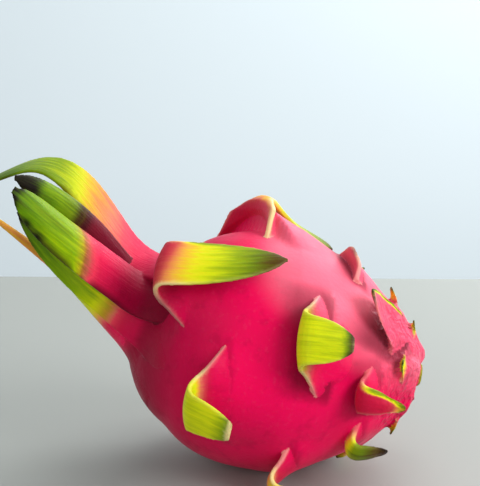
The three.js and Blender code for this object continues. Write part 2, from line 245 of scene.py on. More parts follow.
# %% What each bract does on its own account
OWN_SHAPE = {
    -8: dict(turn=3, length=80, strap=6.2, taper=8, lift=27, lean=22, sway=-55),
    -7: dict(length=50, strap=6),
    -6: dict(turn=-3, length=60, strap=9, taper=5, lift=-3, sway=-7, twist=8),
    -5: dict(turn=-19, shift=-8, length=109, strap=8.8, rise=82, rise_span=38, fold_at=69.5, fold_span=47,
             lift=-60, lean=25, sway=-50.5, twist=-21, furled=False),
    -4: dict(turn=-5, length=90, root=7, strap=3, rise=9, lean=-15, sway=27),
    -3: dict(turn=36, length=75, root=12, strap=9.2, taper=7, flare_end=24, lift=23, sway=-12, twist=-15.5),
    -1: dict(turn=83, shift=8, length=76, root=12, strap=5.5, taper=5, rise=3.5, lift=-9, lean=8, sway=2,
             twist=4),
    0: dict(turn=-20, shift=1.5, length=57, root=20.5, strap=9, rise=32, fold_at=13, fold_span=11.5,
            fold=169, lean=2.5, sway=20, twist=-9),
    2: dict(turn=11, shift=2, length=36, cut=0.9, root=22, rise=18.5, fold_at=14, fold=132, lean=-6,
            sway=-11, twist=-5),
    3: dict(turn=-12, shift=8.5, length=38, root=26, swell=10.5, swell_length=28, swell_drop=0.15, rise=36,
            fold_at=2, fold_span=4, fold=180, curl=-21, lean=-32, sway=-16, twist=50),
    4: dict(length=20, rise=2, fold=0),
    5: dict(turn=-10, shift=-8.5, length=31.5, cut=0.95, root=21.5, strap=8.5, rise=4, fold_at=13.5,
            fold=148, lean=-6, twist=-13),
    7: dict(turn=6, shift=5.5, fold_at=11.5, fold=142, lean=-6, sway=3),
    8: dict(turn=-2, shift=-1, length=6.5, rise=28, fold_at=4, fold_span=4, fold=20, lean=-20),
    10: dict(shift=-6.5, length=26.5, rise=5, fold_at=11.5, fold=126, lean=-5, sway=-8, twist=-6),
    12: dict(length=9, rise=0, fold=0),
    13: dict(turn=-10, shift=-7.5, length=29.5, root=11, strap=8, rise=3, fold_at=10, fold=0, lean=18,
             twist=30),
    15: dict(turn=-4, shift=9, length=18.5, fold=143),
}


def all_bracts():
    made = []
    for number in range(FIRST_CROWN_BRACT, LAST_BRACT + 1):
        b = bract_of_crown(number) if number < 0 else bract_on_body(number)
        b.update(OWN_SHAPE.get(number, {}), number=number)
        b["station"] += b["shift"]
        b["azimuth"] = math.radians(b["azimuth"] + b["turn"])
        if number < 0:
            left = math.degrees(BEND_ANGLE - bend_at(b["station"]))
            b["fold"] = left * math.sin(b["azimuth"]) - BUNDLE_TAPER - b["rise"] - bare_slope(b["station"])
            b["sway"] += left * math.cos(b["azimuth"])
        b["fold"] += b["lift"]
        b["flare_end"] = b["flare_end"] or FLARE_PER_FOLD * b["fold_at"]
        made.append(b)
    return made


BRACTS = all_bracts()
print(len(BRACTS), "bracts,", sum(b["number"] < 0 for b in BRACTS), "of them in the crown")

# %% [markdown]
# ## The skin between the bracts
#
# Each bract stands on a swelling of the rind that runs back from it and fades towards the stem. The swellings
# give a dragon fruit its knuckled outline, so they are part of the skin's height and not a bump painted on.
# Where the fruit lies on the table its weight presses them flat.

# %% The skin between the bracts
SWELLING_NARROWS, SWELLING_CURVE = 0.35, 1.5
NEXT_TO_NOTHING = 1e-6


def beside_and_ahead(b, station, azimuth):
    """How far a spot of the skin lies beside a bract's middle, and how far in front of its root."""
    aside = math.remainder(azimuth - b["azimuth"], 2 * math.pi) * bare_radius(station)
    return aside, station - b["station"] + aside * math.tan(math.radians(b["lean"]))


def swelling(station, azimuth):
    height = 0.0
    for b in BRACTS:
        aside, ahead = beside_and_ahead(b, station, azimuth)
        ahead /= b["swell_length"]
        if abs(aside) > b["root"] or not -1 < ahead < b["swell_drop"]:
            continue
        fading = min(ahead, 0)
        across = abs(aside) / (b["root"] * (1 + SWELLING_NARROWS * fading))
        if across < 1:
            rise = (1 + fading) ** b["swell_power"] * (1 - smoothstep(0, b["swell_drop"], ahead))
            height = max(height, b["swell"] * rise * (1 - across**2) ** SWELLING_CURVE)
    return height


def skin(station, azimuth):
    point, _, up = axis_at(station)
    out, _ = around(up, azimuth)
    point = point + REST + out * bare_radius(station)
    clearance, height = max(point.z, 0), swelling(station, azimuth)
    return point + out * (height * clearance / (clearance + height + NEXT_TO_NOTHING))


tallest = max(BRACTS, key=lambda b: b["swell"])
print("the tallest swelling, under bract %d, is %.1f mm high" % (
    tallest["number"], swelling(tallest["station"], tallest["azimuth"])))

# %% [markdown]
# ## The body
#
# A UV sphere already has what an egg needs: rings that close to a point at both ends. So the body starts as
# one, and every vertex is then moved to its own place on the skin. The rings that close in on the stem are
# pushed in to a dimple.
#
# The mesh also carries numbers for its material, two sets of four on each vertex, which the cells on the
# blades explain. The skin is ripe all over, and in front of a folded bract it is painted darker as shade, for
# the shadow and dark pocket under the fold. Its tone is 0.5 where it is plain and 1 where that painted shade
# is darkest.

# %% The body
DIMPLE_RADIUS, DIMPLE_DEPTH = 15, 6
POLE_GAP = 0.05  # keeps the last vertex off the neck's very end
# Painted shade on the skin in front of these bracts, standing for the shadow and dark pocket under their
# folds.
PAINTED_SKIN_SHADE = {5: (21, 0.7), 8: (11, 0.8), 10: (15, 0.45), 13: (26, 0.85)}  # how far it reaches, and how dark
USUAL_PAINTED_SKIN_SHADE, SHADE_FADES_FROM, SHADE_SQUARENESS = (4, 0.3), 0.5, 8
# Under the crown the neck's painted shade is lifted, so that the neck is as light as the bracts that run out
# of it.
LIGHT_NECK_FROM, LIGHT_NECK_FULL, LIGHT_NECK = 52, 56, 0.3


def note_on(piece, name, values):
    """Writes four numbers on each vertex of a piece, as a colour attribute."""
    if name not in piece.data.attributes:
        piece.data.attributes.new(name, "FLOAT_COLOR", "POINT")
    flat = [number for value in values for number in value]
    piece.data.attributes[name].data.foreach_set("color", flat)


# The painted shade at a spot of the skin: 0.5 where there is none, more where it is darker.
def painted_skin_shade_at(station, azimuth):
    darkness_and_shade = 0
    for b in BRACTS:
        aside, ahead = beside_and_ahead(b, station, azimuth)
        reach, depth = PAINTED_SKIN_SHADE.get(b["number"], USUAL_PAINTED_SKIN_SHADE)
        if b["number"] < 0 or abs(aside) > b["root"] or not -1 < ahead < reach:
            continue
        fading = 1 - smoothstep(SHADE_FADES_FROM, 1, ahead / reach)
        darkness_and_shade = max(darkness_and_shade, fading * (1 - (aside / b["root"]) ** SHADE_SQUARENESS) * depth)
    return 0.5 + darkness_and_shade / 2


bpy.ops.object.select_all(action="DESELECT")
bpy.ops.mesh.primitive_uv_sphere_add(segments=180, ring_count=128, radius=1)
body = bpy.context.object
body.name = "body"
towards_crown = axis_at(0)[1]
skin_fibre = []
for vertex in body.data.vertices:
    height = vertex.co.z
    station = height * (STEM_REACH if height < 0 else NECK_END - POLE_GAP)
    azimuth = math.atan2(vertex.co.y, vertex.co.x)
    hollow = max(1 - bare_radius(station) / DIMPLE_RADIUS, 0) if station < 0 else 0
    vertex.co = (skin(station, azimuth) + towards_crown * DIMPLE_DEPTH * hollow) * MM
    light = LIGHT_NECK * smoothstep(LIGHT_NECK_FROM, LIGHT_NECK_FULL, station) * max(0, -math.sin(azimuth))
    skin_fibre.append((0, light, painted_skin_shade_at(station, azimuth), light > 0))
note_on(body, "growth", [(0, 0, 0, 0)] * len(body.data.vertices))
note_on(body, "fibre", skin_fibre)
print("the body has", len(body.data.vertices), "vertices")

# %% [markdown]
# ## A bract's midline
#
# A bract is a strap that leaves the skin, rises, folds back and curls. The easiest way to draw it is as a
# little cart that runs along the middle of its outer face and is steered: at each half millimetre it pitches
# by the fold, yaws by the sway and rolls by the twist. The frames it leaves behind carry the blade. Behind
# its root the cart runs on under the skin, so that the blade is well rooted.

# %% A bract's midline
ROOT_SINK, ROOT_CURVE, STEP = 9, 0.02, 0.5


def turned(a, c, degrees):
    angle = math.radians(degrees)
    return a * math.cos(angle) + c * math.sin(angle), c * math.cos(angle) - a * math.sin(angle)


def folded(b, s):
    half = b["fold_span"] / 2
    risen = b["rise"] * smoothstep(0, b["rise_span"], s) if b["rise_span"] else 0
    bent = smoothstep(b["fold_at"] - half, b["fold_at"] + half, s) * b["fold"]
    return risen + bent + s / b["length"] * b["curl"]


def midline(b, distances):
    """A point, and the directions along, out and aside, at each distance from the root."""
    _, d, up = axis_at(b["station"])
    n, e = around(up, b["azimuth"])
    root = skin(b["station"] - STEP, b["azimuth"])
    d, e = turned(d, e, b["lean"])
    at_once = 0 if b["rise_span"] else b["rise"]
    d, n = turned(d, n, bare_slope(b["station"]) * math.cos(math.radians(b["lean"])) + at_once)
    frames, point, s = [], root.copy(), 0.0
    for target in distances:
        if target <= 0:
            frames.append((root + d * target - n * ROOT_CURVE * target**2, d, n, e))
            continue
        while s < target - NEXT_TO_NOTHING:
            ds = min(STEP, target - s)
            d, n = turned(d, n, folded(b, s + ds) - folded(b, s))
            if s + ds / 2 > b["fold_at"]:
                d, e = turned(d, e, b["sway"] * ds / (b["length"] - b["fold_at"]))
            n, e = turned(n, e, b["twist"] * ds / b["length"])
            point = point + d * ds
            s += ds
        frames.append((point, d, n, e))
    return frames


arched = next(b for b in BRACTS if b["number"] == -5)
print("the arched bract's tip is at", [round(c) for c in midline(arched, [arched["length"]])[0][0]], "mm")

# %% [markdown]
# ## A blade's outline and thickness
#
# A blade is widest where its root spreads into the skin and ends in a point, and it is dished like a gutter.
# It is thick at the root and down the middle, and thin at the margin, and under the skin it narrows. A place
# on it is told by two numbers: s is the distance from the root, and v runs from -1 at one margin to 1 at the
# other. A blade that would sink in the table is lifted on to it.

# %% A blade's outline and thickness
ROOT_THICKNESS, TIP_THICKNESS, EDGE, TABLE_GAP = 3.4, 1.5, 0.5, 0.25
FLARE_CURVE, TIP_CURVE, TIP_BLUNT = 1.6, 0.75, 0.985
TIP_THINS_FROM, TIP_THINS_BY = 0.93, 0.5
LEAST_ARCH = 1e-5  # so that a flat blade can be drawn as a very wide arc


def half_width(b, s):
    f = min(max(s / b["length"], 0), TIP_BLUNT)
    flare = max(1 - max(s, 0) / b["flare_end"], 0) ** FLARE_CURVE
    width = (b["root"] - b["strap"]) * flare + b["strap"] * (1 - f ** b["taper"]) ** TIP_CURVE
    return width * (1 + s / (3 * ROOT_SINK)) if s < 0 else width


def thickness(b, s, v):
    f = max(s / b["length"], 0)
    full = (ROOT_THICKNESS * (1 - f) + TIP_THICKNESS * f) * (1 - (1 - EDGE) * v**2)
    return full * (1 - TIP_THINS_BY * smoothstep(TIP_THINS_FROM, 1, f))


def blade_point(b, frame_here, s, v):
    """A point in the middle of the blade's flesh."""
    point, _, n, e = frame_here
    root_arch = 1 / max(bare_radius(b["station"]), NECK_RADIUS) + 2 * b["swell"] / b["root"] ** 2
    flat = 0 if b["furled"] else smoothstep(0, b["fold_at"], s)
    arch = root_arch * (1 - flat) + b["channel"] * smoothstep(b["fold_at"], b["length"], s)
    arch = max(arch, LEAST_ARCH)
    angle = arch * half_width(b, s) * v
    normal = n * math.cos(angle) + e * math.sin(angle)
    face = point + e * (math.sin(angle) / arch) + n * ((math.cos(angle) - 1) / arch)
    half = normal * (thickness(b, s, v) / 2)
    middle = face - half
    if s > 0:
        middle.z = max(middle.z, abs(half.z) + TABLE_GAP)
    return middle


print("halfway along it, the arched bract is %.0f mm wide and %.1f mm thick" % (
    2 * half_width(arched, arched["length"] / 2), thickness(arched, arched["length"] / 2, 0)))

# %% [markdown]
# ## How green each spot is
#
# The colours of the rind follow its age: the skin is ripe and magenta, and each bract turns through orange
# and yellow to green towards its tip. So each blade has a line of points, a distance and how green it is
# there, from 0 for ripe pink to 1 for a tip that is nearly black. Most bracts follow a usual line, and those
# that ripened otherwise have their own. A slant makes one side greener than the other, and a green rim is a
# margin that ripens late.

# %% How green each spot is
GREEN_AT = {
    -8: ((36, 0.02), (45, 0.1), (48, 0.25), (49.5, 0.74), (60, 0.76), (68, 0.8), (76, 0.95)),
    -6: ((22, 0.03), (30, 0.5), (44, 0.7), (60, 0.8)),
    -5: ((16, 0.01), (24, 0.06), (34, 0.19), (44, 0.3), (50, 0.37), (54, 0.44), (58, 0.54), (62, 0.63),
         (68, 0.69), (86, 0.76), (109, 0.88)),
    -4: ((20, 0.1), (40, 0.28), (52, 0.36), (70, 0.36), (90, 0.42)),
    -3: ((22, 0.01), (33, 0.06), (38, 0.14), (41, 0.27), (42.5, 0.62), (46, 0.71), (60, 0.76), (75, 0.84)),
    -1: ((16, 0.03), (22, 0.14), (26, 0.44), (33, 0.66), (50, 0.76), (72, 0.86)),
    0: ((9, 0), (13, 0.08), (16, 0.2), (18.5, 0.33), (22, 0.42), (26, 0.52), (31, 0.6), (37, 0.67),
        (44, 0.77), (50, 0.87), (57, 0.95)),
    2: ((6, 0), (10, 0.25), (12, 0.56), (18, 0.62), (25, 0.6), (29, 0.68), (32, 0.82)),
    3: ((1, 0), (2, 0.3), (3.5, 0.52), (10, 0.62), (24, 0.7), (38, 0.85)),
    5: ((2, 0), (6, 0.08), (9, 0.25), (12, 0.56), (16, 0.62), (26, 0.65), (28.5, 0.85), (30, 1)),
    7: ((7, 0), (10, 0.3), (13, 0.5), (20, 0.64)),
    8: ((0, 0), (6, 0.2)),
    10: ((9, 0), (20, 0.06), (24, 0.4), (26.5, 0.62)),
    13: ((12, 0), (26, 0.1), (29.5, 0.5)),
    15: ((3, 0), (5, 0.4), (7, 0.76), (10, 0.84), (18, 0.98)),
}
SLANT = {0: -2, -3: -4, -5: -6}
# The side that the rim is on, how green it is, how broad, and the distance that it starts at.
GREEN_RIM = {10: (1, 0.72, 2.5, 12), 13: (1, 0.76, 2, 8), 3: (-1, 0.4, 7, 0), 0: (1, 0.75, 1.6, 22)}
NO_RIM, RIM_SOLID, RIM_RISE = (0, 0, 1, 0), 0.55, 3
LAST_LARGE_BRACT = 10


def run_through(points, x):
    """The value at x on a line through points, level before the first and after the last."""
    for (x0, y0), (x1, y1) in zip(points, points[1:]):
        if x < x1:
            return y0 + (y1 - y0) * max(x - x0, 0) / (x1 - x0)
    return points[-1][1]


def usual_green(b):
    fold, end = b["fold_at"], b["length"]
    if b["number"] < 0:
        return (20, 0.03), (30, 0.4), (36, 0.68), (end, 0.82)
    if b["number"] > LAST_LARGE_BRACT:
        return (end * 0.25, 0), (end * 0.5, 0.35), (end * 0.75, 0.6), (end, 0.75)
    return (fold * 0.6, 0), (fold * 1.3, 0.3), (end * 0.6, 0.6), (end, 0.8)


def greenness(b, s, v):
    number = b["number"]
    green_here = run_through(GREEN_AT.get(number, usual_green(b)), s + SLANT.get(number, 0) * v)
    side, rim_green, breadth, start = GREEN_RIM.get(number, NO_RIM)
    from_margin = (1 - abs(v)) * half_width(b, s)
    rim = 1 - smoothstep(RIM_SOLID * breadth, breadth, from_margin)
    rim *= smoothstep(start - RIM_RISE, start + RIM_RISE, s)
    if side * v > 0:
        green_here += (max(rim_green, green_here) - green_here) * rim
    return green_here


print("how green the arched bract is:", {s: round(greenness(arched, s, 0), 2) for s in (20, 60, 100)})

# %% [markdown]
# ## Pale margins and withered ends
#
# The margin of a bract on the body is a pale line, its paler colour together with a painted highlight along
# the lifted edge. A bract that was nicked short has a broad pale edge where the flesh was opened. The tips
# wither to a black brown, and one of the crown's bracts has two torn spots that have dried the same way.

# %% Pale margins and withered ends
PALE, PALE_ON_SMALL, LAST_PALE_BRACT = 1, 0.4, 8
MARGIN_FROM, MARGIN_TO, BROAD_MARGIN_TO = 0.1, 1.1, {3: 3}
CUT_END, CUT_PALENESS, CUT_STEP = {2: 1.3, 5: 0.5}, 6, (-0.6, 0.4)
WITHERED_FROM, USUALLY_WITHERED = {-8: 69, -3: 71.5, 0: 58, 5: 28.5, 15: 16}, 0.94
WITHERS_OVER, MARGIN_LEADS = (-1.5, 2.5), 2
TORN_SPOTS, TORN_STEP = {-3: ((64, 2.2), (58, 2.4))}, (0.55, 0.85)  # where along it, and how far it spreads


def hump(x, middle, spread):
    return math.exp(-((x - middle) / spread) ** 2)


def paleness_and_edge_highlight(b, s, v):
    number, from_margin = b["number"], (1 - abs(v)) * half_width(b, s)
    most = 0 if number < 0 else PALE if number <= LAST_PALE_BRACT else PALE_ON_SMALL
    pale = most * (1 - smoothstep(MARGIN_FROM, BROAD_MARGIN_TO.get(number, MARGIN_TO), from_margin))
    if number in CUT_END:
        from_end = s - b["length"] * b["cut"]
        pale = max(pale, CUT_PALENESS * smoothstep(*CUT_STEP, from_end + CUT_END[number]))
    return pale


def dryness(b, s, v):
    start = WITHERED_FROM.get(b["number"], USUALLY_WITHERED * b["length"])
    withered_here = smoothstep(*WITHERS_OVER, s + MARGIN_LEADS * v * v - start)
    torn = sum(hump(s, at, spread) for at, spread in TORN_SPOTS.get(b["number"], ()))
    return max(withered_here, torn * smoothstep(*TORN_STEP, -v))


print("the arched bract is dry from about", round(USUALLY_WITHERED * arched["length"]), "mm on")

# %% [markdown]
# ## Dark and rusty spots
#
# Some bracts are painted dark red as shade, where a fold or a neighbour shades them and at the crown's bases,
# and down one margin as a painted shadow line between the crown's blades; on the crown part of it is their
# own darker colour. One has a dark line along its vein, and two have a rusty band where the green begins. One
# number tells all of it, the tone: 0.5 is the plain colour, above it the rind is darker, and below it there
# is rust.

# %% Dark and rusty spots
# Darkening along each bract: mostly painted shade from folds, neighbours and the crease under the crown,
# partly the crown's own darker colour.
DARK_COLOUR_AND_SHADE_AT = {
    -8: ((0, 1), (44, 1), (47, 1.16), (51, 1.1), (54, 0.4), (60, 0.1)),
    -5: ((0, 0.9), (14, 0.6), (22, 0.3), (30, 0.1), (38, 0.02), (48, 0.25), (68, 0.32), (84, 0.1)),
    -4: ((0, 0.5), (40, 0.3), (60, 0.1)),
    -3: ((0, 1), (12, 0.9), (22, 0.45), (30, 0.2), (38, 0.15), (42, 0.3), (47, 0)),
    -1: ((0, 0.4), (14, 0.35), (26, 0.1), (30, 0)),
    5: ((6, 0), (8, 0.35), (11, 0.5), (13, 0)),
    10: ((6, 0), (8, 0.3), (10, 0.3), (12, 0)),
}
NO_DARKENING = ((0, 0), (1, 0))
# A painted shadow line down one margin, where the next blade of the crown shades it.
PAINTED_SHADOW_EDGE = {-1: (1, 0.9), -3: (-1, 0.9), -5: (-1, 0.8)}  # the side that it is on and how dark it is
DARK_VEIN = {-3: (0.1, 0.4)}  # where it runs across the blade and how dark it is
RUST_AT = {-3: (41.3, 0.9), -1: (26, 0.6)}  # the distance along and how rusty it is
NOWHERE, VEIN_SPREAD, RUST_SPREAD = (0, 0), 0.1, 3.5
EDGE_STEP, EDGE_ENDS, VEIN_STARTS, VEIN_ENDS = (0.6, 1), (58, 68), (44, 50), (62, 70)


def darkening_shade_and_rust(b, s, v):
    number = b["number"]
    side, depth = PAINTED_SHADOW_EDGE.get(number, NOWHERE)
    at_edge = depth * smoothstep(*EDGE_STEP, side * v) * (1 - smoothstep(*EDGE_ENDS, s))
    vein, depth = DARK_VEIN.get(number, NOWHERE)
    on_vein = depth * hump(v, vein, VEIN_SPREAD) * smoothstep(*VEIN_STARTS, s)
    on_vein *= 1 - smoothstep(*VEIN_ENDS, s)
    dark_here = max(at_edge, on_vein, run_through(DARK_COLOUR_AND_SHADE_AT.get(number, NO_DARKENING), s))
    at, strength = RUST_AT.get(number, NOWHERE)
    rust_here = strength * hump(s + SLANT.get(number, 0) * v, at, RUST_SPREAD)
    return 0.5 + (dark_here * (1 - rust_here) - rust_here) / 2


print("the arched bract's tone:", {s: round(darkening_shade_and_rust(arched, s, 0), 2) for s in (0, 20, 60)})

# %% [markdown]
# ## The blades
#
# Each blade starts as a grid, because a grid has rows to lay along the midline and columns to spread across
# it. The columns stand closer at the margins, where the blade thins. Solidify then gives it flesh, as thick
# as one vertex group tells it, and marks the inner face that it makes in another.
#
# "growth" holds how green, how pale and how withered each spot is, with a place left for the inner face.
# "fibre" holds the place across the blade and along it, so that fibres can run with it wherever it bends,
# then the tone, which carries painted shade, darker colour and rust, and 1 for being on a blade at all. Each
# blade's numbers across start two further on, so that no two blades have the same fibres.

# %% The blades
ROW_STEP, COLUMNS, FEWEST_ROWS = 0.9, 22, 12
ACROSS_UNIT, ALONG_UNIT, NEXT_BLADE = 50, 100, 2  # the first two are the millimetres that 1 stands for


def make_blade(b):
    end = b["length"] * b["cut"]
    rows = max(round((end + ROOT_SINK) / ROW_STEP), FEWEST_ROWS)
    bpy.ops.object.select_all(action="DESELECT")
    bpy.ops.mesh.primitive_grid_add(x_subdivisions=COLUMNS, y_subdivisions=rows, size=2)
    blade = bpy.context.object
    blade.name = "blade_%02d" % (b["number"] - FIRST_CROWN_BRACT)
    distances = [-ROOT_SINK + (end + ROOT_SINK) * i / rows for i in range(rows + 1)]
    frames = midline(b, distances)
    flesh = blade.vertex_groups.new(name="flesh")
    blade.vertex_groups.new(name="inner")
    growth_here, fibre_here = [], []
    for vertex in blade.data.vertices:
        v, row = 1.5 * vertex.co.x - 0.5 * vertex.co.x**3, round((vertex.co.y + 1) / 2 * rows)
        s = distances[row]
        vertex.co = blade_point(b, frames[row], s, v) * MM
        flesh.add([vertex.index], thickness(b, s, v) / ROOT_THICKNESS, "REPLACE")
        growth_here.append((greenness(b, s, v), paleness_and_edge_highlight(b, s, v), 0, dryness(b, s, v)))
        across_here = half_width(b, s) * v / ACROSS_UNIT + NEXT_BLADE * b["number"]
        fibre_here.append((across_here, s / ALONG_UNIT, darkening_shade_and_rust(b, s, v), 1))
    note_on(blade, "growth", growth_here)
    note_on(blade, "fibre", fibre_here)
    apply_modifier(blade, "SOLIDIFY", thickness=ROOT_THICKNESS * MM, offset=0, vertex_group="flesh",
                   shell_vertex_group="inner", use_even_offset=False)
    return blade


blades = [make_blade(b) for b in BRACTS]
print(len(blades), "blades with", sum(len(blade.data.vertices) for blade in blades), "vertices")

# %% [markdown]
# ## The stub of the stem
#
# The fruit was cut from its branch, and a short woody stub stays in the dimple. It is a cone, set along the
# axis, and the Bevel modifier softens the rim that the knife left.

# %% The stub of the stem
FOOT, FACE, SUNK, STUB_HEIGHT, STUB_BEVEL = 5.5, 4.2, 6, 7.5, 0.6
STUB_GREEN, STUB_DRY = 0.5, 0.7
bpy.ops.object.select_all(action="DESELECT")
bpy.ops.mesh.primitive_cone_add(vertices=32, radius1=FOOT * MM, radius2=FACE * MM, depth=STUB_HEIGHT * MM)
stub = bpy.context.object
stub.name = "stub"
apply_modifier(stub, "BEVEL", width=STUB_BEVEL * MM, segments=2)
towards_stem = -towards_crown
stub_foot = axis_at(DIMPLE_DEPTH - STEM_REACH + SUNK)[0] + REST
stub.rotation_mode = "QUATERNION"
stub.rotation_quaternion = towards_stem.to_track_quat("Z", "Y")
stub.location = (stub_foot + towards_stem * STUB_HEIGHT / 2) * MM
bpy.ops.object.transform_apply(location=True, rotation=True, scale=True)
note_on(stub, "growth", [(STUB_GREEN, 0, 0, STUB_DRY)] * len(stub.data.vertices))
note_on(stub, "fibre", [(0, 0, 0.5, 0)] * len(stub.data.vertices))
print("the stub is", STUB_HEIGHT, "mm high")

# %% [markdown]
# ## One rind
#
# On the real fruit nothing is stuck on: blades and skin are one piece of rind. Remesh in its voxel mode melts
# overlapping closed meshes into one, with a soft root under every blade. The joined pieces are kept as a
# source, because the new mesh has forgotten the numbers that they carry.

# %% One rind
VOXEL = 0.45
pick(body, stub, *blades)
bpy.ops.object.join()
source = bpy.context.object
inner_group = source.vertex_groups["inner"].index
source_growth = source.data.attributes["growth"].data
for vertex in source.data.vertices:
    if any(g.group == inner_group and g.weight > 0.5 for g in vertex.groups):
        source_growth[vertex.index].color[2] = 1
pick(source)
bpy.ops.object.duplicate()
fruit = bpy.context.object
fruit.name = "rind"
apply_modifier(fruit, "REMESH", mode="VOXEL", voxel_size=VOXEL * MM)
print("one rind of", len(fruit.data.polygons), "faces")

# %% [markdown]
# ## Smoothing, the flat spot and a lighter mesh
#
# The voxels leave a fine stair, so the mesh is smoothed a little. It is then cut level with the table. Last
# comes Decimate, which takes faces from the broad skin, where they aren't missed, and leaves them at the
# margins.

# %% Smoothing, the flat spot and a lighter mesh
SMOOTHING, SMOOTH_ROUNDS = 0.5, 3
MOST_TRIANGLES = 190_000
apply_modifier(fruit, "SMOOTH", factor=SMOOTHING, iterations=SMOOTH_ROUNDS)
pick(fruit)
bpy.ops.object.mode_set(mode="EDIT")
bpy.ops.mesh.select_all(action="SELECT")
bpy.ops.mesh.bisect(plane_co=(0, 0, 0), plane_no=(0, 0, 1), clear_inner=True, use_fill=True)
bpy.ops.mesh.select_all(action="SELECT")
bpy.ops.mesh.quads_convert_to_tris()
bpy.ops.object.mode_set(mode="OBJECT")
apply_modifier(fruit, "DECIMATE", ratio=min(MOST_TRIANGLES / len(fruit.data.polygons), 1))
pick(fruit)
bpy.ops.object.shade_smooth()
print("the rind now has", len(fruit.data.polygons), "triangles")

# %% [markdown]
# ## The growth numbers again
#
# The colours of a real bract are in its flesh and stay with it. Here they have to be carried over: Data
# Transfer looks up the spot of the source that is nearest to each vertex of the rind, and copies its numbers.

# %% The growth numbers again
for name in ("growth", "fibre"):
    if name not in fruit.data.color_attributes:
        fruit.data.color_attributes.new(name, "FLOAT_COLOR", "POINT")
apply_modifier(fruit, "DATA_TRANSFER", object=source, use_vert_data=True,
               data_types_verts={"COLOR_VERTEX"}, vert_mapping="POLYINTERP_NEAREST")
bpy.data.objects.remove(source)
print("attributes:", [a.name for a in fruit.data.color_attributes])

# %% [markdown]
# ## Crinkles round the stem
#
# Where the fruit hung from its branch the skin has shrunk into fine folds. The Displace modifier pushes the
# skin in along a pattern of cells, so sharp low ridges stay between them. A vertex group holds the push to
# the skin near the stem, keeps it off the bracts, and lets it fade towards the table. No vertex may leave the
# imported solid's box.

# %% Crinkles round the stem
CRINKLE_SIZE, CRINKLE_DEPTH = 8, 1.8
CRINKLES_FROM, CRINKLES_FULL = 34, 46  # along X, towards the stem
FLAT_BELOW, CRINKLED_ABOVE = 1, 8  # above the table
near_stem = fruit.vertex_groups.new(name="near_stem")
fruit_fibre = fruit.data.color_attributes["fibre"].data
for vertex in fruit.data.vertices:
    push = smoothstep(CRINKLES_FROM, CRINKLES_FULL, vertex.co.x / MM)
    push *= smoothstep(FLAT_BELOW, CRINKLED_ABOVE, vertex.co.z / MM)
    push *= 1 - min(fruit_fibre[vertex.index].color[3], 1)
    if push > 0:
        near_stem.add([vertex.index], push, "REPLACE")
cells = bpy.data.textures.new("crinkles", "VORONOI")
cells.noise_scale = CRINKLE_SIZE * MM
apply_modifier(fruit, "DISPLACE", texture=cells, texture_coords="LOCAL", mid_level=1.0,
               strength=CRINKLE_DEPTH * MM, vertex_group="near_stem")
for vertex in fruit.data.vertices:
    for axis in range(3):
        vertex.co[axis] = min(max(vertex.co[axis], cad_box[0][axis]), cad_box[1][axis])
print("folds", CRINKLE_SIZE, "mm apart and up to", CRINKLE_DEPTH, "mm deep")

# %% [markdown]
# ## A colour, a node and the numbers of the mesh
#
# Colours are written as they are picked on a screen, and one function turns them to the linear values that
# light is reckoned with. Another adds a node with its settings and links.
#
# The numbers on the mesh come in as two sets of four. Places come in as object coordinates, which are in
# metres, so every pattern keeps its real size.

# %% A colour, a node and the numbers of the mesh


def linear(hex_colour):
    def channel(pair):
        value = int(pair, 16) / 255
        return value / 12.92 if value <= 0.04045 else ((value + 0.055) / 1.055) ** 2.4

    return tuple(channel(hex_colour[i:i + 2]) for i in (1, 3, 5)) + (1.0,)


def add_node(kind, inputs, out=0, **settings):
    """Adds a node to the rind's material, with its settings and links, and returns one of its outputs."""
    node = rind.node_tree.nodes.new("ShaderNode" + kind)
    for name, value in settings.items():
        setattr(node, name, value)
    for name, value in inputs.items():
        if isinstance(value, bpy.types.NodeSocket):
            rind.node_tree.links.new(value, node.inputs[name])
        else:
            node.inputs[name].default_value = value
    return node.outputs[out]


rind = bpy.data.materials.new("pitaya_rind")
rind.use_nodes = True
shader = rind.node_tree.nodes["Principled BSDF"]
growth = add_node("Attribute", {}, "Color", attribute_name="growth")
green, margin, inner_face = add_node("SeparateColor", {"Color": growth}).node.outputs
dry = growth.node.outputs["Alpha"]
fibre = add_node("Attribute", {}, "Color", attribute_name="fibre")
across, along, tone = add_node("SeparateColor", {"Color": fibre}).node.outputs
on_blade = fibre.node.outputs["Alpha"]
place = add_node("TexCoord", {}, "Object")
x, y, z = add_node("SeparateXYZ", {"Vector": place}).node.outputs
crownward = add_node("VectorMath", {0: place, 1: towards_crown}, "Value", operation="DOT_PRODUCT")
print("ripe magenta in linear light:", [round(c, 3) for c in linear("#e60050")[:3]])

# %% [markdown]
# ## Fibres, blotches and specks
#
# Under the wax a bract has fibres that run along it, about a millimetre wide and fifteen times as long. The
# wax itself lies in blotches some 6 mm wide, with specks of 1.6 mm where it is missing, and the pale bloom
# with its painted sheen is patchy over a couple of centimetres. All are noise, each with its real size, and
# the fibres' noise is laid out by the numbers that the blades carry.

# %% Fibres, blotches and specks
FIBRE_STRETCH = 15
sideways = add_node("Math", {0: across, 1: ACROSS_UNIT * MM}, operation="MULTIPLY")
lengthways = add_node("Math", {0: along, 1: ALONG_UNIT / FIBRE_STRETCH * MM}, operation="MULTIPLY")
on_fibre = add_node("CombineXYZ", {"X": sideways, "Y": lengthways})
PATTERNS = {  # what it follows, its size in millimetres, its detail and its roughness
    "fibres": (on_fibre, 1.3, 3, 0.6),
    "blotches": (place, 6, 4, 0.6),
    "specks": (place, 1.6, 2, 0.5),
    "patches": (place, 22, 2, 0.5),
    "creases": (place, 4, 2, 0.4),
}
pattern = {}
for name, (follows, size, detail, rough) in PATTERNS.items():
    settings = {"Vector": follows, "Scale": 1 / (size * MM), "Detail": detail, "Roughness": rough}
    pattern[name] = add_node("TexNoise", settings)
print("patterns and their sizes in mm:", {name: row[1] for name, row in PATTERNS.items()})
